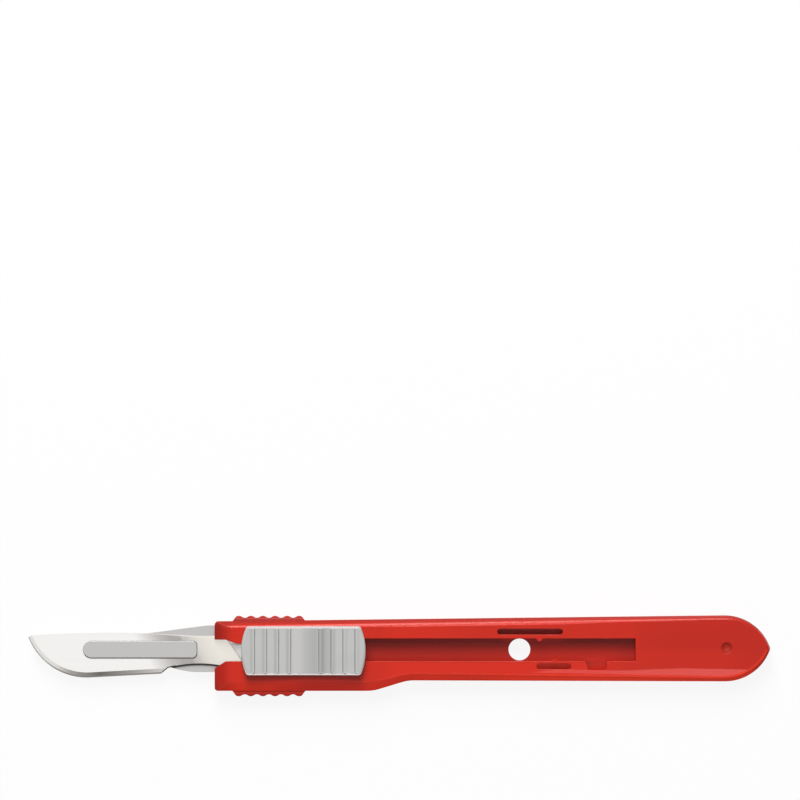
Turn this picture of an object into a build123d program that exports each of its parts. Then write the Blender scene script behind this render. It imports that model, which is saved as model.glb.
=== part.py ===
from build123d import *
import math
import os

# A retractable disposable scalpel, lying on its flat back with the thumb slide up and the blade
# locked forward. Lengths are in millimetres. It has three pieces: a moulded handle, a moulded
# thumb slide that carries the blade, and the steel blade.
# The pieces are drawn with X = 0 at the nose face of the handle, X growing towards the tail,
# Y = 0 on the centre line of the thumb slot, Y growing towards the blunt back of the blade, and
# Z = 0 on the handle's back. They are moved to the shared frame just before they are written.

# Handle outline: a rise is measured up from the slot's centre line and a drop down from it.
handle_length = 117.0
nose_rise = 5.95
tail_rise = 7.2
belly_drop = 8.65
waist_drop = 6.45
tail_drop = 6.65
belly_end_x = 33.4
waist_start_x = 40.7
belly_blend_radius = 8.0
nose_corner_radius = 0.7
tail_radius = 10.0
tail_tip_radius = 1.2

# Handle walls and edges. A run is how far a bevel reaches in from the outline.
back_wall = 1.4
lip_thickness = 1.6
bevel_depth = 1.1
nose_bevel_run = 2.4
upper_bevel_run = 1.0
upper_tail_bevel_run = 0.4
lower_bevel_run = 1.5
lower_tail_bevel_run = 0.8
belly_bevel_run = 1.9
tail_end_bevel_run = 0.45
crease_radius = 0.55
back_edge_radius = 0.8

# Finger grip bands on both edges of the nose.
rib_count = 6
rib_pitch = 2.54
rib_first_x = 5.07
rib_rise = 1.17
rib_groove = 0.42
rib_ramp = 1.35
rib_back_gap = 1.0
rib_front_gap = 0.3
rib_edge_radius = 0.8

# Thumb slot through the front lips, and the mouth and throat between the nose jaws.
slot_width = 4.8
slot_end_x = 88.6
mouth_rise = 2.15
mouth_straight = 2.4
throat_rise = 1.3
throat_ramp_end_x = 4.6
throat_end_x = 7.4
throat_blend_radius = 1.5
mouth_flare_drop = 3.9
mouth_flare_run = 2.4
mouth_flare_blend_radius = 0.6

# Detents beside the slot: a bump on each lip, backed by a slit that lets the lip spring.
upper_slit_x = 66.4
upper_slit_length = 13.8
lower_slit_x = 71.4
lower_slit_length = 7.3
slit_width = 1.22
upper_web = 0.82
lower_web = 0.45
upper_bump_x = 68.4
upper_bump_height = 0.6
upper_bump_length = 1.15
lower_bump_x = 71.6
lower_bump_height = 0.42
lower_bump_length = 1.5

# Locking notch in the lower lip, steady hole in the back wall and gate dimple at the tail.
notch_x = 80.3
notch_length = 4.5
notch_depth = 1.85
notch_corner_radius = 0.4
notch_slant = 0.6
hole_x = 64.2
hole_diameter = 4.6
dimple_from_tail = 9.2
dimple_rise = 0.38
dimple_radius = 1.25
dimple_depth = 0.45

# Clearances between the slide and the handle.
slide_clearance = 0.15
side_clearance = 0.15
blade_side_clearance = 0.25
button_clearance = 0.2
stop_clearance = 0.15
bump_clearance = 0.12
end_clearance = 0.2

# Thumb slide: a plate under the blade, a boss through it, guide rails, a neck and a button.
plate_thickness = 1.5
carrier_rise = 5.1
carrier_drop = 4.7
carrier_rear_x = 31.0
shoulder_upper_x = -1.7
shoulder_lower_x = -5.5
shoulder_upper_taper = 19.7
shoulder_lower_taper = 8.85
shoulder_upper_blend = 12.0
shoulder_lower_blend = 30.0
stalk_margin = 0.6
stalk_thickness = 0.8
stalk_thinning_length = 18.0
boss_stand = 0.35
boss_clearance = 0.04
boss_slack = 0.12
boss_edge_radius = 0.15
heel_clearance = 0.12
heel_web_gap = 0.4
stop_block_length = 2.6
latch_root_x = 13.0
latch_arm_thickness = 0.55
latch_lug_height = 0.45
latch_lug_slack = 0.3
latch_slit_width = 0.5
latch_gap = 0.25

# Thumb button.
button_front_x = 5.62
button_length = 26.2
button_rise = 5.0
button_drop = 5.33
button_end_bulge = 1.15
button_height = 2.3
button_dish = 0.75
button_corner_radius = 0.7
button_edge_radius = 0.5
ridge_count = 4
ridge_pitch = 2.53
ridge_centre_shift = 0.28
ridge_inner_offset = 2.85
ridge_width = 1.15
ridge_crest_width = 0.3
ridge_height = 0.28
ridge_inner_run = 0.2
ridge_end_gap = 0.5

# Blade: a curved belly that runs out to a straight edge, and a long slot for the boss.
blade_thickness = 0.45
blade_length = 46.15
blade_heel_x = 6.87
blade_back_rise = 3.54
blade_tip_rise = 2.65
tip_facet_run = 0.95
tip_facet_rise = 0.4
tang_start_x = -4.0
tang_rise = 2.95
tang_drop = 3.87
tang_hollow = 0.88
tang_hollow_front_x = -9.87
tang_hollow_length = 13.34
edge_rear_x = -11.3
edge_rear_drop = 5.05
edge_straight_length = 14.9
edge_slope_deg = 3.1
heel_slant_run = 4.97
blade_slot_front_x = -27.77
blade_slot_length = 24.15
blade_slot_width = 3.75
blade_slot_front_radius = 1.8
blade_slot_rear_radius = 1.0
grind_width = 1.08
grind_tip_width = 0.9
hone_width = 0.3
hone_tip_width = 0.25
hone_thickness = 0.26
edge_flat = 0.03

# Levels that follow from the sizes above.
plate_bottom_z = back_wall + slide_clearance
plate_top_z = plate_bottom_z + plate_thickness
blade_top_z = plate_top_z + blade_thickness
boss_top_z = blade_top_z + boss_stand
cavity_top_z = boss_top_z + slide_clearance
handle_top_z = cavity_top_z + lip_thickness
button_bottom_z = handle_top_z + button_clearance
button_top_z = button_bottom_z + button_height
shoulder_z = handle_top_z - bevel_depth

# Places that follow from the sizes above.
slot_half = slot_width / 2
blade_tip_x = blade_heel_x - blade_length
travel = slot_end_x - carrier_rear_x - end_clearance
neck_front_x = throat_end_x + stop_clearance
neck_rise = slot_half - upper_bump_height - bump_clearance
neck_drop = slot_half - lower_bump_height - bump_clearance


def slab(face, low_z, high_z):
    """A flat face made into a solid between two heights."""
    return Pos(0, 0, low_z) * extrude(face, high_z - low_z)


def polygon(*points):
    """A flat face with straight sides."""
    return make_face(Polyline(*points, close=True).edges())


def box_between(low_x, high_x, low_y, high_y, low_z, high_z):
    """A rectangular block given by its limits."""
    centre = ((low_x + high_x) / 2, (low_y + high_y) / 2, (low_z + high_z) / 2)
    return Pos(*centre) * Box(high_x - low_x, high_y - low_y, high_z - low_z)


# Blade

def edge_direction():
    """Unit vector along the straight cutting edge, pointing forward."""
    slope = math.radians(edge_slope_deg)
    return Vector(-math.cos(slope), -math.sin(slope))


def blade_outline(inset, tip_inset):
    """The blade seen from the front, with its cutting edge moved in by the given widths."""
    forward = edge_direction()
    inward = Vector(forward.Y, -forward.X)
    step_top = Vector(tang_hollow_front_x, -tang_drop)
    edge_rear = Vector(edge_rear_x, -edge_rear_drop)
    step = step_top - edge_rear
    start = edge_rear + step * (inset / step.dot(inward))
    bend = edge_rear + forward * edge_straight_length + inward * inset
    facet = Vector(tip_facet_run, tip_facet_rise)
    tip = Vector(blade_tip_x, blade_tip_rise) + facet.normalized() * tip_inset
    corner = Vector(blade_tip_x, blade_tip_rise) + facet
    back_end = Vector(tang_start_x, tang_rise)
    back_top = Vector((corner.X + back_end.X) / 2, blade_back_rise)
    heel_low = Vector(blade_heel_x, -tang_drop)
    heel_high = Vector(blade_heel_x - heel_slant_run, tang_rise)
    hollow_rear = step_top + Vector(tang_hollow_length, 0)
    hollow_top = (step_top + hollow_rear) * 0.5 + Vector(0, tang_hollow)
    edges = [
        Line(heel_low, hollow_rear),
        ThreePointArc(hollow_rear, hollow_top, step_top),
        Line(step_top, start),
        Line(start, bend),
        TangentArc(bend, tip, tangent=forward),
        Line(tip, corner),
        ThreePointArc(corner, back_top, back_end),
        Line(back_end, heel_high),
        Line(heel_high, heel_low),
    ]
    return make_face(edges)


def blade_slot_outline(clearance, slack):
    """The long slot in the blade, or the boss in it: smaller all round, and by the slack behind
    and below, where the blade hangs clear of the boss."""
    length = blade_slot_length - 2 * clearance - slack
    width = blade_slot_width - 2 * clearance - slack
    middle_x = blade_slot_front_x + (blade_slot_length - slack) / 2
    outline = Pos(middle_x, slack / 2) * Rectangle(length, width)
    rear = outline.vertices().group_by(Axis.X)[-1]
    outline = fillet(rear, blade_slot_rear_radius - clearance)
    front = outline.vertices().group_by(Axis.X)[0]
    return fillet(front, blade_slot_front_radius - clearance - slack / 2)


def blade():
    """The steel blade: flat, with a ground and honed edge on both faces, and a slot."""
    middle_z = plate_top_z + blade_thickness / 2
    rim = blade_outline(0, 0)
    hone = blade_outline(hone_width, hone_tip_width)
    grind = blade_outline(grind_width, grind_tip_width)
    levels = [
        (-blade_thickness / 2, grind), (-hone_thickness / 2, hone), (-edge_flat / 2, rim),
        (edge_flat / 2, rim), (hone_thickness / 2, hone), (blade_thickness / 2, grind),
    ]
    solid = loft([Pos(0, 0, middle_z + height) * outline for height, outline in levels], ruled=True)
    return solid - slab(blade_slot_outline(0, 0), plate_bottom_z, boss_top_z)


# Handle

def handle_outline(nose_run, upper_run, upper_tail_run, lower_run, lower_tail_run, belly_run, end_run):
    """The handle seen from the front, with its sides moved in by the given runs."""
    rise = tail_rise - upper_tail_run
    drop = tail_drop - lower_tail_run
    half = (rise + drop) / 2
    tip_x = handle_length - end_run
    arc_centre_x = tip_x - math.sqrt(tail_radius**2 - (tail_radius - half) ** 2)
    upper_nose = (nose_run, nose_rise - upper_run)
    lower_nose = (nose_run, belly_run - belly_drop)
    belly = (belly_end_x, belly_run - belly_drop)
    waist = (waist_start_x, lower_run - waist_drop)
    lower_tail = (arc_centre_x, -drop)
    upper_tail = (arc_centre_x, rise)
    tip = (tip_x, (rise - drop) / 2)
    sides = FilletPolyline(
        lower_tail, waist, belly, lower_nose, upper_nose, upper_tail,
        radius=[belly_blend_radius, belly_blend_radius, nose_corner_radius, nose_corner_radius],
    )
    upper_arc = RadiusArc(upper_tail, tip, tail_radius)
    lower_arc = RadiusArc(tip, lower_tail, tail_radius)
    outline = make_face(sides.edges() + upper_arc.edges() + lower_arc.edges())
    return fillet(outline.vertices().sort_by(Axis.X)[-1], tail_tip_radius)


def handle_body():
    """The handle's outer form: straight flanks, a rounded back edge and a bevelled front."""
    outer = handle_outline(0, 0, 0, 0, 0, 0, 0)
    inner = handle_outline(
        nose_bevel_run, upper_bevel_run, upper_tail_bevel_run, lower_bevel_run,
        lower_tail_bevel_run, belly_bevel_run, tail_end_bevel_run,
    )
    flanks = slab(outer, 0, shoulder_z)
    flanks = fillet(flanks.faces().sort_by(Axis.Z)[0].edges(), back_edge_radius)
    crown = loft([Pos(0, 0, shoulder_z) * outer, Pos(0, 0, handle_top_z) * inner], ruled=True)
    body = flanks + crown
    return fillet(body.faces().sort_by(Axis.Z)[-1].edges(), crease_radius)


def rib_band(edge_y, outward):
    """One finger grip: a raised pad on the handle's edge with a wavy rim and rounded sides."""
    crest_y = edge_y + outward * rib_rise
    groove_y = crest_y - outward * rib_groove
    middle_y = (crest_y + groove_y) / 2
    quarter = rib_pitch / 4
    last_x = rib_first_x + (rib_count - 1) * rib_pitch
    wave = []
    for index in range(rib_count):
        x = rib_first_x + index * rib_pitch
        wave.append(ThreePointArc((x - quarter, middle_y), (x, crest_y), (x + quarter, middle_y)))
        if x < last_x:
            groove_x = x + rib_pitch / 2
            next_x = groove_x + quarter
            wave.append(ThreePointArc((x + quarter, middle_y), (groove_x, groove_y), (next_x, middle_y)))
    root_y = edge_y - outward * rib_rise
    front = Polyline(
        (rib_first_x - quarter, middle_y), (rib_first_x - rib_ramp, edge_y),
        (rib_first_x - rib_ramp, root_y),
    )
    rear = Polyline(
        (last_x + rib_ramp, root_y), (last_x + rib_ramp, edge_y), (last_x + quarter, middle_y),
    )
    base = Line((rib_first_x - rib_ramp, root_y), (last_x + rib_ramp, root_y))
    outline = make_face(wave + front.edges() + [base] + rear.edges())
    low_z = rib_back_gap
    high_z = shoulder_z - rib_front_gap
    section = Pos((root_y + crest_y) / 2, (low_z + high_z) / 2) * Rectangle(2 * rib_rise, high_z - low_z)
    corners = section.vertices().group_by(Axis.X)
    section = fillet(corners[-1] if outward > 0 else corners[0], rib_edge_radius)
    bar = extrude(Plane.YZ * section, last_x + rib_ramp)
    return slab(outline, low_z, high_z) & bar


def cavity():
    """The space the slide runs in, deep enough below for the blade's curved edge."""
    blade_drop = -blade_outline(0, 0).bounding_box().min.Y
    top = carrier_rise + side_clearance
    floor = -(carrier_drop + side_clearance)
    belly_x = edge_rear_x - edge_straight_length + travel
    deepest = -(blade_drop + blade_side_clearance)
    edge_x = edge_rear_x + travel + blade_side_clearance
    edge_y = -(edge_rear_drop + blade_side_clearance)
    step_x = tang_hollow_front_x + travel + blade_side_clearance
    plan = polygon(
        (-slot_width, top), (slot_end_x, top), (slot_end_x, floor), (step_x, floor),
        (edge_x, edge_y), (belly_x, deepest), (-slot_width, deepest),
    )
    return slab(plan, back_wall, cavity_top_z)


def thumb_slot():
    """The slot in the front lips, narrowed by the throat and open between the nose jaws."""
    mouth = FilletPolyline(
        (-slot_width, mouth_rise), (mouth_straight, mouth_rise), (throat_ramp_end_x, throat_rise),
        (throat_end_x, throat_rise), (throat_end_x, slot_half), (slot_end_x, slot_half),
        (slot_end_x, -slot_half), (mouth_flare_run, -slot_half), (0, -mouth_flare_drop),
        (-slot_width, -mouth_flare_drop),
        radius=[
            throat_blend_radius, throat_blend_radius, 0, 0, 0, 0, mouth_flare_blend_radius, 0,
        ],
    )
    closing = Line((-slot_width, -mouth_flare_drop), (-slot_width, mouth_rise))
    return make_face(mouth.edges() + [closing])


def detents():
    """The springy bumps on the lips: faces to add at the slot's edges."""
    upper = ThreePointArc(
        (upper_bump_x - upper_bump_length / 2, slot_half),
        (upper_bump_x, slot_half - upper_bump_height),
        (upper_bump_x + upper_bump_length / 2, slot_half),
    )
    lower = ThreePointArc(
        (lower_bump_x - lower_bump_length / 2, -slot_half),
        (lower_bump_x, lower_bump_height - slot_half),
        (lower_bump_x + lower_bump_length / 2, -slot_half),
    )
    return [make_face([arc, Line(arc @ 1, arc @ 0)]) for arc in (upper, lower)]


def lip_openings():
    """Everything cut through the front lips, drawn in one plane."""
    upper_slit_y = slot_half + upper_web + slit_width / 2
    lower_slit_y = -(slot_half + lower_web + slit_width / 2)
    notch_left = notch_x - notch_length / 2
    notch_right = notch_x + notch_length / 2
    notch = polygon(
        (notch_left, 0), (notch_right, 0), (notch_right, -slot_half - notch_depth),
        (notch_left + notch_slant, -slot_half - notch_depth), (notch_left, -slot_half),
    )
    notch = fillet(notch.vertices().group_by(Axis.Y)[0], notch_corner_radius)
    opening = thumb_slot() + notch
    for bump in detents():
        opening -= bump
    opening += Pos(upper_slit_x, upper_slit_y) * SlotOverall(upper_slit_length, slit_width)
    opening += Pos(lower_slit_x, lower_slit_y) * SlotOverall(lower_slit_length, slit_width)
    return opening


def handle():
    """The moulded handle with its grip bands, slide cavity, slot, detents, hole and dimple."""
    body = handle_body() + rib_band(nose_rise, 1) + rib_band(-belly_drop, -1)
    body -= cavity()
    middle_z = (back_wall + cavity_top_z) / 2
    body -= slab(lip_openings(), middle_z, handle_top_z + lip_thickness)
    body -= Pos(hole_x, 0, 0) * Cylinder(hole_diameter / 2, 3 * back_wall)
    ball_radius = (dimple_radius**2 + dimple_depth**2) / (2 * dimple_depth)
    dimple_x = handle_length - dimple_from_tail
    body -= Pos(dimple_x, dimple_rise, handle_top_z + ball_radius - dimple_depth) * Sphere(ball_radius)
    return body


# Thumb slide

def plate():
    """The flat slide under the blade: a slim stalk in front that widens to the runner."""
    half = blade_slot_width / 2 + stalk_margin
    tip_x = blade_slot_front_x - stalk_margin
    upper_front = (shoulder_upper_x - shoulder_upper_taper, half)
    lower_front = (shoulder_lower_x - shoulder_lower_taper, -half)
    side = FilletPolyline(
        (tip_x + half, half), upper_front, (shoulder_upper_x, carrier_rise),
        (carrier_rear_x, carrier_rise), (carrier_rear_x, -carrier_drop),
        (shoulder_lower_x, -carrier_drop), lower_front, (tip_x + half, -half),
        radius=[
            shoulder_upper_blend, shoulder_upper_blend, stop_clearance, stop_clearance,
            shoulder_lower_blend / 2, shoulder_lower_blend / 8,
        ],
    )
    nose = ThreePointArc((tip_x + half, -half), (tip_x, 0), (tip_x + half, half))
    slide = slab(make_face(side.edges() + [nose]), plate_bottom_z, plate_top_z)
    relief_z = plate_top_z - stalk_thickness
    relief = Plane.XZ * polygon(
        (tip_x - half, plate_bottom_z - stalk_thickness), (tip_x - half, relief_z), (tip_x, relief_z),
        (tip_x + stalk_thinning_length, plate_bottom_z),
        (tip_x + stalk_thinning_length, plate_bottom_z - stalk_thickness),
    )
    return slide - extrude(relief, 2 * half, both=True)


def boss():
    """The long boss that fills the blade's slot, with softened upper edges."""
    solid = slab(blade_slot_outline(boss_clearance, boss_slack), plate_top_z, boss_top_z)
    return fillet(solid.faces().sort_by(Axis.Z)[-1].edges(), boss_edge_radius)


def heel_backing_x(y):
    """Where the slide meets the blade's slanted heel at a given height, with its clearance."""
    slope = heel_slant_run / (tang_rise + tang_drop)
    return blade_heel_x - slope * (y + tang_drop) + heel_clearance * math.hypot(1, slope)


def heel_block():
    """The full-width block behind the blade, with a slanted front that backs its heel."""
    block = polygon(
        (heel_backing_x(carrier_rise), carrier_rise), (carrier_rear_x, carrier_rise),
        (carrier_rear_x, -carrier_drop), (heel_backing_x(-carrier_drop), -carrier_drop),
    )
    return slab(block, plate_top_z, boss_top_z)


def heel_web():
    """A sloped web from the blade's heel up to the neck, narrow enough for the throat."""
    rise = throat_rise - side_clearance
    front_x = heel_backing_x(rise)
    top_z = button_bottom_z - heel_web_gap
    plan = polygon(
        (front_x, rise), (neck_front_x, rise), (neck_front_x, -neck_drop),
        (heel_backing_x(-neck_drop), -neck_drop),
    )
    wedge = Plane.XZ * polygon(
        (front_x, boss_top_z), (neck_front_x, boss_top_z), (neck_front_x, top_z),
    )
    return slab(plan, boss_top_z, top_z) & extrude(wedge, slot_half, both=True)


def neck():
    """The neck in the slot: a stop block that meets the throat and a springy latch arm."""
    stop_half = slot_half - side_clearance
    solid = box_between(neck_front_x, carrier_rear_x, -neck_drop, neck_rise, boss_top_z, button_bottom_z)
    solid += box_between(
        neck_front_x, neck_front_x + stop_block_length, -stop_half, stop_half, boss_top_z, button_bottom_z,
    )
    lug_x = notch_x - travel
    lug_half = notch_length / 2 - latch_lug_slack
    arm_y = latch_lug_height - neck_drop
    arm_top_y = arm_y + latch_arm_thickness
    pocket_end_x = lug_x + lug_half + latch_slit_width
    solid -= box_between(
        latch_root_x, pocket_end_x, -slot_half, arm_top_y + latch_slit_width, boss_top_z, button_bottom_z,
    )
    arm = polygon(
        (latch_root_x - latch_arm_thickness, arm_top_y), (lug_x + lug_half, arm_top_y),
        (lug_x + lug_half, -neck_drop), (lug_x - lug_half + latch_lug_height, -neck_drop),
        (lug_x - lug_half, arm_y), (latch_root_x - latch_arm_thickness, arm_y),
    )
    return solid + slab(arm, boss_top_z + latch_gap, button_bottom_z - latch_gap)


def button():
    """The thumb button: rounded ends, a dished top and raised ridges across both ends."""
    rear_x = button_front_x + button_length
    middle_x = button_front_x + button_length / 2
    middle_y = (button_rise - button_drop) / 2
    front_corner_x = button_front_x + button_end_bulge
    rear_corner_x = rear_x - button_end_bulge
    upper = Line((front_corner_x, button_rise), (rear_corner_x, button_rise))
    rear = ThreePointArc((rear_corner_x, button_rise), (rear_x, middle_y), (rear_corner_x, -button_drop))
    lower = Line((rear_corner_x, -button_drop), (front_corner_x, -button_drop))
    front = ThreePointArc((front_corner_x, -button_drop), (button_front_x, middle_y), upper @ 0)
    plan = make_face([upper, rear, lower, front])
    plan = fillet(plan.vertices(), button_corner_radius)
    solid = slab(plan, button_bottom_z, button_top_z)
    half_chord = button_length / 2
    dish_radius = (half_chord**2 + button_dish**2) / (2 * button_dish)
    dish_z = button_top_z - button_dish + dish_radius
    width = button_rise + button_drop
    solid -= Pos(middle_x, middle_y, dish_z) * Rot(90, 0, 0) * Cylinder(dish_radius, 2 * width)
    rims = [edge for edge in solid.edges() if edge.bounding_box().min.Z > button_bottom_z]
    solid = fillet(rims, button_edge_radius)
    for index in range(ridge_count):
        offset = ridge_inner_offset + index * ridge_pitch
        for side in (-1, 1):
            inner = offset + side * ridge_centre_shift
            inner_z = dish_z - math.sqrt(dish_radius**2 - inner**2)
            outer_z = dish_z - math.sqrt(dish_radius**2 - (inner + ridge_width) ** 2)
            inner_x = middle_x + side * inner
            step_x = inner_x + side * ridge_inner_run
            crest_x = step_x + side * ridge_crest_width
            outer_x = inner_x + side * ridge_width
            step = polygon(
                (inner_x, button_bottom_z), (inner_x, inner_z), (step_x, inner_z + ridge_height),
                (crest_x, inner_z + ridge_height), (outer_x, outer_z), (outer_x, button_bottom_z),
            )
            solid += Pos(0, middle_y, 0) * extrude(Plane.XZ * step, width / 2 - ridge_end_gap, both=True)
    return solid


def blade_carrier():
    """The moulded slide in one piece: plate, boss, heel block and web, neck and thumb button."""
    return plate() + boss() + heel_block() + heel_web() + neck() + button()


def main():
    """Builds the three pieces, puts them in the shared frame and writes them."""
    pieces = {"handle": handle(), "blade_carrier": blade_carrier(), "blade": blade()}
    box = Compound(list(pieces.values())).bounding_box()
    centre = box.center()
    os.makedirs("parts", exist_ok=True)
    for name, piece in pieces.items():
        placed = Pos(-centre.X, -centre.Y, 0) * piece
        placed.label = name
        export_step(placed, f"parts/{name}.step")
    print("shift", round(centre.X, 4), round(centre.Y, 4), "travel", round(travel, 4))


main()
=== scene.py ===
import bpy
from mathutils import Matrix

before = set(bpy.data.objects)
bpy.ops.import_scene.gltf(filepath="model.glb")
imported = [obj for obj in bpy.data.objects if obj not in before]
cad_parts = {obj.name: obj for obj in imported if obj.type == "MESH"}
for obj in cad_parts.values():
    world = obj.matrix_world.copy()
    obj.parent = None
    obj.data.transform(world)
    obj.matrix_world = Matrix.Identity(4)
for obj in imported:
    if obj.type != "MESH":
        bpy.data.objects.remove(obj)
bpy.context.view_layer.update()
print("solids loaded:", ", ".join(sorted(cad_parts)))


# shader maths: a wrapped socket, so that masks and colours read as plain sums
class Signal:
    def __init__(self, paint, socket):
        self.paint = paint
        self.socket = socket

    def __add__(self, other):
        return self.paint.maths("ADD", self, other)

    def __radd__(self, other):
        return self.paint.maths("ADD", other, self)

    def __sub__(self, other):
        return self.paint.maths("SUBTRACT", self, other)

    def __rsub__(self, other):
        return self.paint.maths("SUBTRACT", other, self)

    def __mul__(self, other):
        return self.paint.maths("MULTIPLY", self, other)

    def __rmul__(self, other):
        return self.paint.maths("MULTIPLY", other, self)

    def __truediv__(self, other):
        return self.paint.maths("DIVIDE", self, other)

    def __rtruediv__(self, other):
        return self.paint.maths("DIVIDE", other, self)

    def __pow__(self, other):
        return self.paint.maths("POWER", self, other)

    def __neg__(self):
        return 0 - self

    def size(self):
        return self.paint.maths("ABSOLUTE", self)

    def atLeast(self, other):
        return self.paint.maths("MAXIMUM", self, other)

    def atMost(self, other):
        return self.paint.maths("MINIMUM", self, other)

    def above(self, low, high):  # 0 up to low, 1 from high, smooth between
        node = self.paint.add(
            "ShaderNodeMapRange",
            {"interpolation_type": "SMOOTHSTEP"},
            {"Value": self, "From Min": low, "From Max": high},
        )
        return Signal(self.paint, node.outputs["Result"])

    def below(self, low, high):  # 1 up to low, 0 from high, smooth between
        return 1 - self.above(low, high)

    def steps(self, changes, start=0.0):  # start, plus each change from its low to its high
        total = start
        for change, low, high in changes:
            total = total + change * self.above(low, high)
        return total


class Paint:  # the nodes of a material, or of the room
    def __init__(self, owner):
        self.owner = owner
        owner.use_nodes = True
        self.tree = owner.node_tree
        self.tree.nodes.clear()
        coordinates = self.add("ShaderNodeTexCoord")
        self.place = coordinates.outputs["Object"]
        self.surface = coordinates.outputs["Normal"]
        x, y, self.z = [part * 1000 for part in self.parts(self.place)]  # in millimetres
        self.along = x + noseShift
        self.height = y - slotShift

    def add(self, kind, settings=None, inputs=None):
        node = self.tree.nodes.new(kind)
        for key, value in (settings or {}).items():
            if key == "stops":
                ramp = node.color_ramp
                while len(ramp.elements) < len(value):
                    ramp.elements.new(0.5)
                for stop, (spot, colour) in zip(ramp.elements, value):
                    stop.position = spot
                    stop.color = colour
            else:
                setattr(node, key, value)
        for key, value in (inputs or {}).items():
            if isinstance(value, Signal):
                value = value.socket
            if isinstance(value, bpy.types.NodeSocket):
                self.tree.links.new(value, node.inputs[key])
            else:
                node.inputs[key].default_value = value
        return node

    def maths(self, operation, *values):
        node = self.add("ShaderNodeMath", {"operation": operation}, dict(enumerate(values)))
        return Signal(self, node.outputs[0])

    def noise(self, stretch, scale, detail):
        turned = self.add("ShaderNodeMapping", None, {"Vector": self.place, "Scale": stretch})
        node = self.add(
            "ShaderNodeTexNoise",
            None,
            {"Vector": turned.outputs[0], "Scale": scale, "Detail": detail},
        )
        return Signal(self, node.outputs["Fac"])

    def ramp(self, spot, stops):
        return self.add("ShaderNodeValToRGB", {"stops": stops}, {0: spot}).outputs[0]

    def parts(self, direction):
        split = self.add("ShaderNodeSeparateXYZ", None, {0: direction})
        return [Signal(self, split.outputs[axis]) for axis in "XYZ"]

    def seen(self):  # 1 for what the camera sees, also in a mirror or through glass
        path = self.add("ShaderNodeLightPath")
        kinds = ("Is Camera Ray", "Is Glossy Ray", "Is Transmission Ray")
        camera, glossy, through = [Signal(self, path.outputs[kind]) for kind in kinds]
        return (camera + glossy + through).atMost(1.0)

    def blend(self, mask, first, second):  # two colours
        node = self.add("ShaderNodeMix", {"data_type": "RGBA"}, {0: mask, 6: first, 7: second})
        return node.outputs[2]

    def turnUp(self, mask, normal):  # the normal, turned straight up where the mask is 1
        inputs = {0: mask, 4: normal, 5: (0, 0, 1)}
        return self.add("ShaderNodeMix", {"data_type": "VECTOR"}, inputs).outputs[1]

    def softCorner(self, radius):
        return self.add("ShaderNodeBevel", {"samples": 6}, {"Radius": radius / 1000}).outputs[0]

    def bump(self, height, distance, strength, normal=None):
        inputs = {"Height": height, "Distance": distance, "Strength": strength}
        if normal is not None:
            inputs["Normal"] = normal
        return self.add("ShaderNodeBump", None, inputs).outputs["Normal"]

    def finish(self, inputs, otherInputs=None, mask=None):
        shader = self.add("ShaderNodeBsdfPrincipled", None, inputs)
        if otherInputs:
            other = self.add("ShaderNodeBsdfPrincipled", None, {**inputs, **otherInputs})
            both = {0: mask, 1: shader.outputs[0], 2: other.outputs[0]}
            shader = self.add("ShaderNodeMixShader", None, both)
        self.add("ShaderNodeOutputMaterial", None, {"Surface": shader.outputs[0]})
        return self.owner


def srgb(red, green, blue):  # 0 to 255 as seen, to the linear colour a shader wants
    steps = [channel / 255 for channel in (red, green, blue)]
    line = [s / 12.92 if s <= 0.04045 else ((s + 0.055) / 1.055) ** 2.4 for s in steps]
    return (*line, 1.0)


# materials measure in millimetres: along from the handle's nose, height from the middle of its
# slot towards the blade's back, and z up from the table
noseShift = 38.825
slotShift = 1.31
tangHollow = (-3.2, -28.71, 25.72)  # middle and radius of the curve cut into the blade's tang
black = (0.0, 0.0, 0.0, 1.0)
white = (1.0, 1.0, 1.0, 1.0)


def pastHollow(paint):  # how far a place is outside the curve of the tang's hollow
    middleAlong, middleHeight, radius = tangHollow
    return ((paint.along - middleAlong) ** 2 + (paint.height - middleHeight) ** 2) ** 0.5 - radius


def dress(nodeName, material):
    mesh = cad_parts[nodeName].data
    mesh.materials.clear()
    mesh.materials.append(material)


# handle: red moulded plastic, satin, with faint flow marks, a soft crown along its long creases,
# a rounded look to its lower bevel, duller recesses and a matt gate mark near the tail.
# a pair is where a mask starts and where it is full, and a change is its size and such a pair.
# a noise is its stretch, scale and detail, and a bump its distance in metres and its strength
# and painted shade on the nose, the upper bevel, the belly, the rib tops, the slot, the slits, the
# open nose's lips, the gate's dimple and the tail
# painted light in the handle's colour: highlights along the creases, lighter bands on the face, a
# lifted, faintly glowing lower bevel,
handleLook = {
    "red": srgb(207, 37, 15),
    "flow": ((18, 60, 60), 1.6, 3),
    "flowShare": 0.45,
    "flowMarks": (0.3, 0.75),
    "speck": ((1, 1, 1), 2600, 2),
    "speckBump": (0.00001, 0.25),
    "wave": ((20, 45, 20), 1.0, 1),
    "waveBump": (0.0004, 0.3),
    # the flow marks' darker tone, also used as painted shade over the tail's end and the rear of
    # its upper half
    "flowAndShadeRed": srgb(193, 32, 13),
    "shadedTail": [(0.5, 104, 115)],
    "shadedBack": [(0.5, 86, 92)],
    "shadedBackHeight": (-1, 1),
    # painted light: a lighter red for bands along the face's lower and upper edges, midway along
    "litFaceRed": srgb(218, 41, 18),
    "litFaceLower": [(0.9, 33, 39), (-0.9, 78, 88)],
    "litFaceLowerHeight": (2.5, 2.9),
    "litFaceUpper": [(0.6, 33, 39), (-0.6, 44, 58)],
    "litFaceUpperHeight": (2.3, 2.6),
    "gloss": 0.17,
    "flowDull": 0.06,
    "edgeDull": 0.3,
    "edgeUpward": (0.84, 0.98),
    "edgeRadius": 0.2,
    "shine": 1.32,
    "faceLevel": 5.6,
    "faceDepth": (0.1, 0.3),
}
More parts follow.
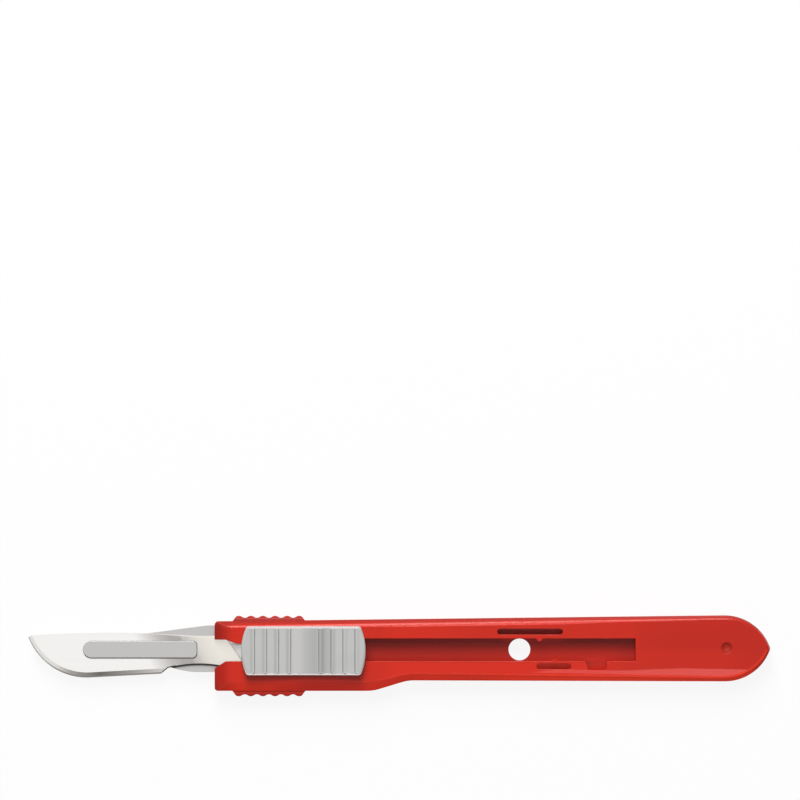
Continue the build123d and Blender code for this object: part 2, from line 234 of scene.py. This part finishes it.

# how the face turns down a little just inside its upper crease, and along the tail's lower one,
# with a painted highlight in lighter red along each
crownLook = {
    "upperCrease": (4.95, 0.0157),  # height at the nose, and rise for each millimetre of length
    "upperInset": [(-0.2, 25, 45), (0.07, 78, 90)],
    "upperWidth": [(0.198, 10, 30), (-0.231, 72, 86), (-0.165, 92, 104)],
    "upperStart": 0.462,
    "upperFrom": (2, 4),
    "upperSlope": 0.139,
    "lowerCrease": (-3.41, -0.0205),
    "lowerWidth": [(0.95, 64, 74), (0.75, 84, 100)],
    "lowerSlope": 0.078,
    "soft": 0.2,
    "bump": (0.001, 1.0),
    # painted highlights: lighter reds along the upper crease and along the tail's lower crease
    "upperShadingRed": srgb(226, 48, 30),
    "upperShadingRim": [(0.02, 0.2), (-0.15, 0)],  # how far into the crown, and inside the crease
    "upperShare": [(-0.3, 64, 84), (-0.3, 84, 104)],
    "upperDull": [(0.15, 60, 95)],
    "lowerHighlightRed": srgb(226, 38, 12),
    "lowerHighlightRim": [(0.05, 0.4), (-0.2, 0)],
}

# the bevels, the nose's end and the ribs, with painted shade and painted light. a facing is a pair
# for a part of the normal
bevelLook = {
    # painted shade: a darker red for the nose's end
    "noseShadeRed": srgb(158, 26, 10),
    "noseFade": (0.98, 0.265),  # share at the nose, and the loss for each millimetre
    "noseFoot": (1.0, 1.3),
    "upperNose": [(0.4, 0, 1)],
    # painted shade: a darker red for the upper bevel and the belly
    "upperShadingRed": srgb(158, 24, 10),
    "upperFacing": [(0.3, 0.6), (0.2, 0.4)],
    "upperDepth": (0.05, 0.15),
    "upperFrom": (3.9, 4.1),
    "upperShare": 0.5,
    "upperDeepen": [(0.5, 0.1, 1.1)],
    "upperFoot": (1.2, 1.4),  # depth under the face at which the bevel ends
    # painted shade: a darker red for the ribs' tops
    "ribShadeRed": srgb(164, 30, 18),
    "ribFacing": (0.4, 0.7),
    "ribDepth": (0.9, 1.0),
    "ribHeight": (5.0, 5.2),
    "ribEnd": (36, 38),
    "ribDull": 0.2,
    "lowerFacing": [(0.04, 0.2), (0.08, 0.2), (0.2, 0.38)],
    "lowerFrom": (3.9, 4.1),
    "tailFrom": (104, 106),
    "lowerFoot": (1.12, 1.2),
    "belly": [(0.4, 15, 20), (-0.4, 26, 36)],
    # painted light: the lifted red and the glow of the lower bevel
    "fillRed": srgb(255, 58, 30),
    "fillTop": 0.4,
    "fillDepth": [(0.6, 0.15, 0.45)],
    "fillShare": [(0.25, 3, 6), (-0.25, 11, 15), (0.25, 20, 40), (0.25, 40, 46), (0.5, 54, 66)],
    "fillGlow": srgb(97, 22, 14),
    "glowFrom": (60, 95),
    "fillTurn": (0.95, 0.25),  # how far its normal is turned up, and the loss per millimetre down
}

recessLook = {
    "slotShadeTones": [  # painted shade across the slot, darkest under its upper wall, from that wall to its lower one
        (0.0, srgb(180, 31, 14)), (0.2, srgb(178, 31, 14)), (0.3, srgb(192, 34, 15)),
        (0.42, srgb(204, 36, 16)), (0.7, srgb(204, 36, 16)), (1.0, srgb(197, 35, 15)),
    ],
    "slotHalf": 2.42,
    "depth": (0.35, 0.6),
    "halfWidth": (4.0, 4.2),
    "from": (2.4, 2.6),
    # painted light: a lighter red in the lower half of the slot's rear part
    "litSlotRed": srgb(224, 41, 18),
    "litSlot": [(0.5, 50, 72), (-0.5, 84, 87)],
    "litSlotHeight": [(0.6, 1.4), (-2.5, -2.4)],
    # painted shade: a darker red in the slits
    "slitShadeRed": srgb(176, 33, 14),
    "slitHeight": (2.42, 2.5),
    "slitEnd": (78, 80),
    "gloss": 0.3,
    # painted shade: a dark red for the lips of the open nose and the top of its end
    "lipShadeRed": srgb(104, 16, 10),
    "lipUpward": (0.6, 0.86),
    "lipFrom": (0.3, 0.8),
    "lipTo": (7, 7.4),
    "lipHalf": (3.9, 4.3),
}

# the gate mark: its matt finish is its own, its darker colour is painted shade in its shallow
# dimple
gateLook = {
    "red": srgb(166, 38, 20),
    "middle": (107.75, 0.38),
    "radius": 1.3,
    "rim": (0.7, 1.1),
    "clear": (1.5, 1.7),
    "dullAndReflection": 0.4,
}


def handleMaterial(look, crowns, bevels, recesses, gates):
    paint = Paint(bpy.data.materials.new("handleRed"))
    along, height = paint.along, paint.height
    depth = look["faceLevel"] - paint.z
    flow = paint.noise(*look["flow"])
    speck = paint.noise(*look["speck"])
    wave = paint.noise(*look["wave"])
    # random flow marks, plus painted shade over the tail's end and the rear of the upper half
    flowAndShadeTint = look["flowShare"] * flow.above(*look["flowMarks"]) + along.steps(look["shadedTail"])
    flowAndShadeTint = flowAndShadeTint + along.steps(look["shadedBack"]) * height.above(*look["shadedBackHeight"])
    colour = paint.blend(flowAndShadeTint, look["red"], look["flowAndShadeRed"])
    face = depth.below(*look["faceDepth"])
    # painted light: the face lighter in a band along its lower edge and a shorter one along its
    # upper edge
    litLowerBand = along.steps(look["litFaceLower"]) * (-height).above(*look["litFaceLowerHeight"])
    litUpperBand = along.steps(look["litFaceUpper"]) * height.above(*look["litFaceUpperHeight"])
    colour = paint.blend(litLowerBand.atLeast(litUpperBand) * face, colour, look["litFaceRed"])

    # crowns: how far a place is into each one, how much the face has fallen there, and its painted
    # highlight
    def crown(inside, width, slope):
        into = (width - inside).atLeast(0.0).atMost(width)
        early = into.atMost(crowns["soft"])
        return into, (early * early / (2 * crowns["soft"]) + (into - early)) * slope

    def highlightBand(into, inside, rim):
        return into.above(*rim[0]) * inside.above(*rim[1]) * face

    creaseHeight, creaseRise = crowns["upperCrease"]
    insideUpper = along * creaseRise + creaseHeight - height + along.steps(crowns["upperInset"])
    creaseHeight, creaseRise = crowns["lowerCrease"]
    insideLower = height - along * creaseRise - creaseHeight
    upperWidth = along.steps(crowns["upperWidth"], crowns["upperStart"])
    upperWidth = upperWidth * along.above(*crowns["upperFrom"])
    lowerWidth = along.steps(crowns["lowerWidth"])
    intoUpper, upperFall = crown(insideUpper, upperWidth, crowns["upperSlope"])
    intoLower, lowerFall = crown(insideLower, lowerWidth, crowns["lowerSlope"])
    upperHighlight = highlightBand(intoUpper, insideUpper, crowns["upperShadingRim"])
    upperHighlight = upperHighlight * along.steps(crowns["upperShare"], 1.0)
    lowerHighlight = highlightBand(intoLower, insideLower, crowns["lowerHighlightRim"])
    # painted highlights along the upper crease and the tail's lower crease
    colour = paint.blend(upperHighlight, colour, crowns["upperShadingRed"])
    colour = paint.blend(lowerHighlight, colour, crowns["lowerHighlightRed"])

    gateAlong, gateHeight = gates["middle"]
    away = ((along - gateAlong) ** 2 + (height - gateHeight) ** 2) ** 0.5
    gateRim = [gates["radius"] * share for share in gates["rim"]]
    # painted shade: the gate's dimple darker
    gate = away.below(*gateRim)
    colour = paint.blend(gate, colour, gates["red"])

    # painted shade on the nose, the upper bevel and the ribs' tops
    faceX, faceY, faceZ = paint.parts(paint.surface)
    noseShare, noseLoss = bevels["noseFade"]
    nose = (noseShare - noseLoss * along).atMost(1.0).atLeast(0.0)
    nose = nose * depth.below(*bevels["noseFoot"])
    # painted shade: the nose's end darker, and its upper part darker still
    colour = paint.blend(nose, colour, bevels["noseShadeRed"])
    colour = paint.blend(nose * height.steps(bevels["upperNose"]), colour, recesses["lipShadeRed"])
    # painted shade: the upper bevel darker
    facingUp, facingTop = bevels["upperFacing"]
    shadedUpperBevel = faceY.above(*facingUp) * faceZ.above(*facingTop)
    shadedUpperBevel = shadedUpperBevel * depth.above(*bevels["upperDepth"]) * depth.below(*bevels["upperFoot"])
    shadedUpperBevel = shadedUpperBevel * height.above(*bevels["upperFrom"])
    shadedUpperBevel = shadedUpperBevel * depth.steps(bevels["upperDeepen"], bevels["upperShare"])
    colour = paint.blend(shadedUpperBevel, colour, bevels["upperShadingRed"])
    # painted shade on the ribs' tops
    shadedRibTop = depth.above(*bevels["ribDepth"]) * faceZ.above(*bevels["ribFacing"])
    shadedRibTop = shadedRibTop * height.above(*bevels["ribHeight"]) * along.below(*bevels["ribEnd"])
    colour = paint.blend(shadedRibTop, colour, bevels["ribShadeRed"])

    # lower bevel: it lies in the handle's own shadow, so painted light lifts it, a lighter red and
    # towards the tail a faint glow, less so at the belly
    under = (-height).above(*bevels["lowerFrom"]).atLeast(along.above(*bevels["tailFrom"]))
    facingDown, facingTop, facingNose = bevels["lowerFacing"]
    lowerBevel = (-faceY).above(*facingDown) * faceZ.above(*facingTop)
    lowerBevel = lowerBevel * (-faceX).below(*facingNose) * under
    lowerBevel = lowerBevel * away.above(*gates["clear"]) * depth.below(*bevels["lowerFoot"])
    fill = lowerBevel * depth.steps(bevels["fillDepth"], bevels["fillTop"])
    fill = fill * along.steps(bevels["fillShare"])
    # painted shade: the lower bevel darker along the belly
    belly = lowerBevel * along.steps(bevels["belly"])
    colour = paint.blend(belly, colour, bevels["upperShadingRed"])
    colour = paint.blend(fill, colour, bevels["fillRed"])
    glow = paint.blend(fill * along.above(*bevels["glowFrom"]), black, bevels["fillGlow"])

    # recesses: the slot, the slits and the hollow, with painted shade darkest under the slot's
    # upper wall and in the slits, painted light in the slot's rear, then the dark lips of the open
    # nose, also painted shade
    sideways = height.size()
    recess = depth.above(*recesses["depth"]) * sideways.below(*recesses["halfWidth"])
    recess = recess * along.above(*recesses["from"])
    slotHalf = recesses["slotHalf"]
    recessShading = paint.ramp((slotHalf - height) / (2 * slotHalf), recesses["slotShadeTones"])
    litSlotBelow, litSlotAbove = recesses["litSlotHeight"]
    litSlot = along.steps(recesses["litSlot"]) * height.below(*litSlotBelow) * height.above(*litSlotAbove)
    recessShading = paint.blend(litSlot, recessShading, recesses["litSlotRed"])
    shadedSlit = sideways.above(*recesses["slitHeight"]) * along.below(*recesses["slitEnd"])
    recessShading = paint.blend(shadedSlit, recessShading, recesses["slitShadeRed"])
    colour = paint.blend(recess, colour, recessShading)
    corner = paint.softCorner(look["edgeRadius"])
    upward = paint.parts(corner)[2]
    # painted shade: dark lips along the edges of the open nose
    lipShade = upward.below(*recesses["lipUpward"]) * along.above(*recesses["lipFrom"])
    lipShade = lipShade * along.below(*recesses["lipTo"]) * sideways.below(*recesses["lipHalf"])
    colour = paint.blend(lipShade, colour, recesses["lipShadeRed"])

    skin = paint.bump(speck, *look["speckBump"], corner)
    skin = paint.bump(wave, *look["waveBump"], skin)
    skin = paint.bump(-upperFall - lowerFall, *crowns["bump"], skin)
    turn, turnLoss = bevels["fillTurn"]
    roughness = look["gloss"] + look["flowDull"] * (flow - 0.5)
    roughness = roughness + look["edgeDull"] * upward.below(*look["edgeUpward"])
    roughness = roughness + gates["dullAndReflection"] * gate + bevels["ribDull"] * shadedRibTop
    roughness = roughness + upperHighlight * along.steps(crowns["upperDull"])
    return paint.finish(
        {
            "Base Color": colour,
            "Roughness": roughness,
            "IOR": look["shine"],
            "Normal": paint.turnUp(lowerBevel * (turn - turnLoss * depth), skin),
            "Emission Color": glow,
            "Emission Strength": 1.0,
        },
        {"Roughness": recesses["gloss"]},
        recess,
    )


dress("handle", handleMaterial(handleLook, crownLook, bevelLook, recessLook, gateLook))
print("handle painted")


# thumb slide: pale grey moulded plastic, a little duller than the handle. the lit lower rim of its
# button and the web behind the blade's heel are lifted by a faint glow
# painted light and shade on the slide: along the button's top, on its ridges' flanks and rims, on
# the low plate, on the web and in a dark line under the tang's hollow
slideLook = {
    "grey": srgb(192, 192, 190),
    "shade": srgb(186, 187, 185),
    "flow": ((30, 80, 60), 1.4, 3),
    "flowMarks": (0.35, 0.7),
    "speck": ((1, 1, 1), 2400, 2),
    "speckBump": (0.00001, 0.3),
    # painted light: the low plate and boss a touch lighter, against the shade they lie in
    "plate": srgb(193, 192, 190),
    "plateTop": (4.1, 4.5),
    "gloss": 0.36,
    "flowDull": 0.1,
    "shine": 1.45,
    "edgeRadius": 0.12,
    "rimGlow": (0.16, 0.14, 0.14, 1.0),
}

buttonLook = {
    # painted shade: a darker grey for the flanks of the button's ridges
    "flankShade": srgb(146, 146, 144),
    "flankEnds": [(0.65, 0.4, 0.75)],
    "flankNose": [(0.3, 0.12, 0.3)],
    "flankSides": (0.2, 0.4),
    "flankFrom": (7.2, 7.6),
    "flankTo": (30.2, 30.6),
    # painted highlight on the button's lower rim, painted shade on its upper rim
    "lowerHighlightRim": srgb(252, 244, 242),
    "upperShadingRim": srgb(196, 182, 182),
    "rimFacing": (0.2, 0.5),
    "litRimFacing": (0.15, 0.4),
    "foot": (6.2, 6.6),
    "rimFoot": (6.4, 6.9),
    "litRimFoot": (6.6, 7.1),
    "thumbSpan": (15.9, 25.3),
    "thumbFade": 0.2,
    # painted shade and light along the middle of the button's top: lighter towards its front,
    # darker towards its rear
    "thumbShadeTones": [
        (0.0, srgb(188, 188, 186)), (0.1, srgb(197, 196, 195)), (0.24, srgb(195, 194, 193)),
        (0.34, srgb(183, 183, 182)), (0.56, srgb(172, 172, 171)), (0.65, srgb(181, 181, 180)),
        (0.73, srgb(161, 161, 160)), (0.82, srgb(176, 176, 174)), (0.93, srgb(180, 180, 178)),
        (1.0, srgb(185, 185, 183)),
    ],
}

webLook = {
    # painted light: a paler web, which also glows faintly, against the shade of the handle's jaws
    "pale": srgb(214, 212, 207),
    "from": (2.5, 3.2),
    "to": (7.4, 7.8),
    "top": (5.5, 5.8),
    "halfWidth": (2.4, 2.6),
    "shine": 0.5,
    "lift": 0.8,
    "liftHeight": (0.2, 1.8),
    "heelLift": 2.0,  # in the narrow gap at the blade's heel
    "heelTop": (3.4, 3.6),
}

gapLook = {  # painted shade: the dark line on the plate, just under the tang's hollow
    "grey": srgb(62, 59, 57),
    "inner": (-0.6, -0.5),
    "outer": (0.215, 0.43),
    "top": (3.2, 3.3),
    "from": (-10.2, -9),
    "to": (6, 7),
    "lowerFrom": (2.6, 2.8),
}


def slideMaterial(look, button, webs, gaps):
    paint = Paint(bpy.data.materials.new("slideGrey"))
    along, height = paint.along, paint.height
    flow = paint.noise(*look["flow"])
    speck = paint.noise(*look["speck"])
    colour = paint.blend(flow.above(*look["flowMarks"]), look["grey"], look["shade"])
    # painted light on the low plate and boss
    colour = paint.blend(paint.z.below(*look["plateTop"]), colour, look["plate"])
    low, high = button["thumbSpan"]
    fade = button["thumbFade"]
    overFoot = paint.z.above(*button["foot"])
    # painted shade and light along the button's dished top
    shadedThumb = overFoot * along.above(low - fade, low) * along.below(high, high + fade)
    thumbShade = paint.ramp((along - low) / (high - low), button["thumbShadeTones"])
    colour = paint.blend(shadedThumb, colour, thumbShade)
    corner = paint.softCorner(look["edgeRadius"])
    facingX, facingY = paint.parts(corner)[:2]
    # painted shade on the flanks of the button's ridges
    flankShade = facingX.size().steps(button["flankEnds"]) + (-facingX).steps(button["flankNose"])
    flankShade = flankShade * overFoot * facingY.size().below(*button["flankSides"])
    flankShade = flankShade * along.above(*button["flankFrom"]) * along.below(*button["flankTo"])
    colour = paint.blend(flankShade, colour, button["flankShade"])
    rim = paint.z.above(*button["rimFoot"])
    # painted highlight on the lower rim, painted shade on the upper rim
    lowerHighlightRim = rim * (-facingY).above(*button["rimFacing"])
    upperShadingRim = rim * facingY.above(*button["rimFacing"])
    colour = paint.blend(lowerHighlightRim, colour, button["lowerHighlightRim"])
    colour = paint.blend(upperShadingRim, colour, button["upperShadingRim"])
    # painted light: the web behind the blade's heel paler
    web = along.above(*webs["from"]) * along.below(*webs["to"]) * paint.z.below(*webs["top"])
    web = web * height.size().below(*webs["halfWidth"])
    colour = paint.blend(web, colour, webs["pale"])
    # painted shade: a dark line on the plate under the tang's hollow
    inside = -pastHollow(paint)
    gapShade = inside.above(*gaps["inner"]) * inside.below(*gaps["outer"])
    gapShade = gapShade * along.above(*gaps["from"]) * along.below(*gaps["to"])
    gapShade = gapShade * paint.z.below(*gaps["top"]) * (-height).above(*gaps["lowerFrom"])
    colour = paint.blend(gapShade, colour, gaps["grey"])
    litRim = (-facingY).above(*button["litRimFacing"]) * paint.z.above(*button["litRimFoot"])
    lifted = litRim.atLeast(webs["lift"] * web * height.above(*webs["liftHeight"]))
    lifted = lifted + webs["heelLift"] * web * paint.z.below(*webs["heelTop"])
    return paint.finish({
        "Base Color": colour,
        "Emission Color": paint.blend(lifted, black, look["rimGlow"]),
        "Emission Strength": 1.0,
        "Metallic": webs["shine"] * web,
        "Roughness": look["gloss"] + look["flowDull"] * (flow - 0.5),
        "IOR": look["shine"],
        "Normal": paint.turnUp(litRim, paint.bump(speck, *look["speckBump"], corner)),
    })


dress("blade_carrier", slideMaterial(slideLook, buttonLook, webLook, gapLook))
print("slide painted")


# blade: bright rolled steel, ground and honed along the curved edge
# its colour holds painted reflections on the face, the ground facet, the honed edge and the tang,
# and painted shade along its cut edges
bladeLook = {
    "steel": srgb(240, 238, 236),
    # painted reflection and shade: the tang between the jaws greyer and warmer
    "tang": srgb(231, 227, 218),
    "tangFrom": (-8, -4),
    # painted reflection: soft grey patches on the blade's face near the slot, less of them along
    # its back edge
    "dullAndReflection": srgb(171, 167, 165),
    "reflectionSpan": (-16.8, -0.8),  # measured above the slot, and further back below it
    "reflectionLean": (2.63, 0.56),
    "reflectionShare": [
        (0.0, 0.0), (0.3, 0.78), (0.46, 1.0), (0.59, 1.0), (0.615, 0.75), (0.69, 0.62),
        (0.74, 0.38), (0.82, 0.2), (1.0, 0.0),
    ],
    "backLine": (3.47, -11.5, 0.077),  # its height at a place, and the fall from there
    "backBand": (-0.4, -0.2),
    "backShare": 0.6,
    "grain": ((40, 1600, 40), 1.0, 3),
    "lineBump": (0.000004, 0.3),
    "metal": 0.8,
    "gloss": 0.16,
    "lineDull": 0.06,
}

edgeLook = {
    # painted reflection: the ground facet's tones, from the tip back along the edge
    "groundReflectionTones": [
        (0.0, srgb(214, 212, 209)), (0.17, srgb(213, 211, 208)), (0.21, srgb(209, 206, 203)),
        (0.245, srgb(192, 189, 186)), (0.315, srgb(155, 152, 148)), (0.39, srgb(134, 130, 126)),
        (0.54, srgb(98, 94, 90)), (0.77, srgb(142, 139, 136)), (1.0, srgb(183, 180, 177)),
    ],
    "groundSpan": (-39.3, -11.3),
    "groundTilt": (0.9945, 0.9985),  # how much of a facet's normal points up or down
    "groundGloss": 0.34,
    "groundGrain": ((2200, 160, 1), 1.0, 2),
    # painted reflection: a darker line along the honed edge
    "honed": srgb(122, 118, 114),
    "honedTilt": (0.93, 0.97),
    "honedStart": 0.45,
    "honedShare": [(0.4, -36.5, -33), (0.15, -30, -28)],
    # painted shade: a near-black line along the cut edges
    "cut": srgb(48, 44, 41),
    "cutSpan": (0.168, 0.28),
    "cutLowerFrom": (2.7, 2.9),
    "cutNarrow": [(0.12, -8.6, -7.9)],
    "step": (-9.87, -3.87, 0.637, -0.771),  # a point on the step before the hollow, and its facing
    "stepReach": (1.2, 1.5),
    "stepJoin": 0.05,
}


def bladeMaterial(look, edges):
    paint = Paint(bpy.data.materials.new("bladeSteel"))
    along, height = paint.along, paint.height
    tilt = paint.parts(paint.surface)[2].size()
    ground = tilt.below(*edges["groundTilt"])
    honed = tilt.below(*edges["honedTilt"])
    grain = paint.noise(*look["grain"])
    groundGrain = paint.noise(*edges["groundGrain"])
    # painted reflection: grey patches on the blade's face, held back along its back edge
    first, last = look["reflectionSpan"]
    leanHeight, lean = look["reflectionLean"]
    leaning = along + (height - leanHeight) * lean
    shares = [(spot, (share, share, share, 1.0)) for spot, share in look["reflectionShare"]]
    dullAndReflection = Signal(paint, paint.ramp((leaning - first) / (last - first), shares))
    backHeight, backAlong, backSlope = look["backLine"]
    overBack = height + (along - backAlong) * backSlope - backHeight
    dullAndReflection = dullAndReflection * (1 - look["backShare"] * overBack.above(*look["backBand"]))
    # painted reflection and shade on the tang
    tangReflectionTone = paint.blend(along.above(*look["tangFrom"]), look["steel"], look["tang"])
    colour = paint.blend(dullAndReflection, tangReflectionTone, look["dullAndReflection"])
    # painted reflection on the ground facet
    low, high = edges["groundSpan"]
    groundReflection = paint.ramp((along - low) / (high - low), edges["groundReflectionTones"])
    colour = paint.blend(ground, colour, groundReflection)
    # painted reflection: the honed edge darker
    honed = honed * along.steps(edges["honedShare"], edges["honedStart"])
    colour = paint.blend(honed, colour, edges["honed"])

    # painted shade along the cut edge of the tang's hollow, and of the slanted step before it
    fromHollow = pastHollow(paint).size() + along.steps(edges["cutNarrow"])
    stepAlong, stepHeight, sideAlong, sideHeight = edges["step"]
    fromStep = ((along - stepAlong) * sideAlong + (height - stepHeight) * sideHeight).size()
    fromStep = fromStep + (stepAlong - along).above(*edges["stepReach"])
    behindStep = (along - stepAlong).above(-edges["stepJoin"], edges["stepJoin"])
    fromCut = fromHollow * behindStep + fromStep * (1 - behindStep)
    cut = fromCut.below(*edges["cutSpan"]) * (-height).above(*edges["cutLowerFrom"])
    colour = paint.blend(cut, colour, edges["cut"])
    lines = grain * (1 - ground) + groundGrain * ground
    groundDull = edges["groundGloss"] - look["gloss"]
    return paint.finish({
        "Base Color": colour,
        "Metallic": look["metal"],
        "Roughness": look["gloss"] + groundDull * ground + look["lineDull"] * (lines - 0.5),
        "Normal": paint.bump(lines, *look["lineBump"]),
    })


dress("blade", bladeMaterial(bladeLook, edgeLook))
print("blade painted")


# floor: a pale sheet that shows white and keeps a trace of shadow
floorLook = {"side": 3.0, "colour": srgb(250, 250, 250), "glow": 0.9}


def makeFloor(look):
    bpy.ops.mesh.primitive_plane_add(size=look["side"])
    floor = bpy.context.object
    floor.name = "floor"
    paint = Paint(bpy.data.materials.new("floorPale"))
    paper = paint.add("ShaderNodeBsdfDiffuse", None, {"Color": look["colour"]})
    glow = paint.add("ShaderNodeEmission", None, {"Color": white, "Strength": 1.0})
    both = {0: paint.seen() * look["glow"], 1: paper.outputs[0], 2: glow.outputs[0]}
    mixed = paint.add("ShaderNodeMixShader", None, both)
    paint.add("ShaderNodeOutputMaterial", None, {"Surface": mixed.outputs[0]})
    floor.data.materials.append(paint.owner)


makeFloor(floorLook)
print("floor laid")


# light: a soft lamp overhead beyond the blade's back, a weak one opposite, two narrow strips
# whose reflections run along the creases, and a white room around
lightLook = {
    "keyLamp": {"spot": (-0.12, 0.84, 0.87), "size": (0.5, 0.95), "power": 16.0},
    "fillLamp": {"spot": (0.0, -0.76, 0.9), "size": (0.9, 0.5), "power": 0.55},
    "backStrip": {"spot": (0.0, 0.27, 1.0), "size": (0.32, 0.05), "power": 0.46},
    "frontStrip": {"spot": (0.095, -0.18, 1.0), "size": (0.13, 0.08), "power": 0.236},
}
roomLook = {"light": 0.15, "seen": 1.0}


def makeLamp(name, look):
    data = bpy.data.lights.new(name, "AREA")
    data.shape = "RECTANGLE"
    data.size, data.size_y = look["size"]
    data.energy = look["power"]
    lamp = bpy.data.objects.new(name, data)
    bpy.context.scene.collection.objects.link(lamp)
    lamp.location = look["spot"]
    lamp.rotation_euler = (-lamp.location).to_track_quat("-Z", "Y").to_euler()


def makeRoom(look):
    world = bpy.data.worlds.new("room")
    bpy.context.scene.world = world
    paint = Paint(world)
    strength = look["light"] + (look["seen"] - look["light"]) * paint.seen()
    sky = paint.add("ShaderNodeBackground", None, {"Color": white, "Strength": strength})
    paint.add("ShaderNodeOutputWorld", None, {"Surface": sky.outputs[0]})


for lampName, lampLook in lightLook.items():
    makeLamp(lampName, lampLook)
makeRoom(roomLook)
print("lights set")


# camera: straight above, far off with a long lens, the scalpel low in the frame
cameraLook = {
    "sensor": 36,
    "height": 2.5,
    "plane": 0.005,  # the height at which the frame is measured
    "frameWidth": 0.1684,
    "aim": (0.0002, 0.0539),
}


def makeCamera(look):
    data = bpy.data.cameras.new("camera")
    data.sensor_width = look["sensor"]
    data.lens = look["sensor"] * (look["height"] - look["plane"]) / look["frameWidth"]
    camera = bpy.data.objects.new("camera", data)
    camera.location = (*look["aim"], look["height"])
    bpy.context.scene.collection.objects.link(camera)
    bpy.context.scene.camera = camera


makeCamera(cameraLook)
bpy.context.scene.view_settings.view_transform = "Standard"
print("camera placed")
